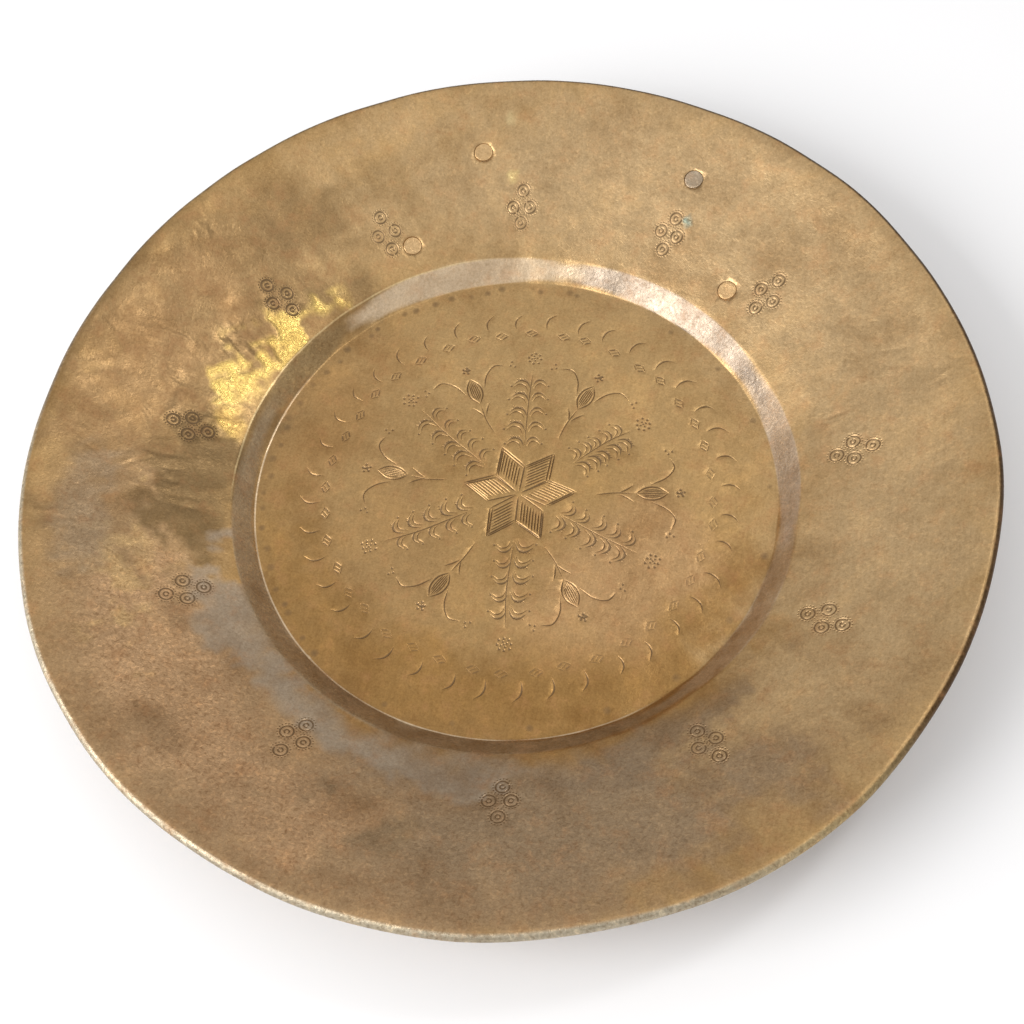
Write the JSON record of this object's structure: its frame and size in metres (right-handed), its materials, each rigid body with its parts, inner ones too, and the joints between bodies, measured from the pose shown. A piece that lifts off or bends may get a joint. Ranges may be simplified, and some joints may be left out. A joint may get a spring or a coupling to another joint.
{
  "type": "engraved brass charger",
  "caption": "Round hammered brass dish with a sunk well, a broad sloping rim with punched rosettes and an engraved floor; riveted straps behind the rim hold loose hanging rings.",
  "frame": {"origin": "middle of the flat underside of the well, which the dish stands on", "axes": "+Z out of the open face of the dish; +Y to the top of the dish as it hangs, midway between the two straps; +X to the right seen from the face"},
  "size_m": [0.48, 0.48, 0.0527],
  "materials": {
    "dish_brass": "hammered sheet brass with an old golden-brown patina",
    "edge_iron": "dark iron wire",
    "strap_brass": "plain sheet brass, dulled",
    "rivet_brass": "brass rivet filed flush, dulled",
    "ring_iron": "dark iron wire, bent and butted"
  },
  "bodies": {
    "dish": {"dish": "dish_brass", "edge_wire": "edge_iron", "strap_right": "strap_brass", "strap_left": "strap_brass", "rivet_inner_right": "rivet_brass", "rivet_outer_right": "rivet_brass", "rivet_inner_left": "rivet_brass", "rivet_outer_left": "rivet_brass"},
    "ring_right": {"ring_right": "ring_iron"},
    "ring_left": {"ring_left": "ring_iron"}
  },
  "joints": [
    {"name": "ring_right_swing", "type": "hinge", "parent": "dish", "child": "ring_right", "pos_m": [0.05487, 0.2046, 0.03647], "axis": [0.8941, 0.3613, 0.2647], "range_deg": [-55, 110]},
    {"name": "ring_left_swing", "type": "hinge", "parent": "dish", "child": "ring_left", "pos_m": [-0.05487, 0.2046, 0.03647], "axis": [0.8941, -0.3613, -0.2647], "range_deg": [-55, 110]}
  ]
}
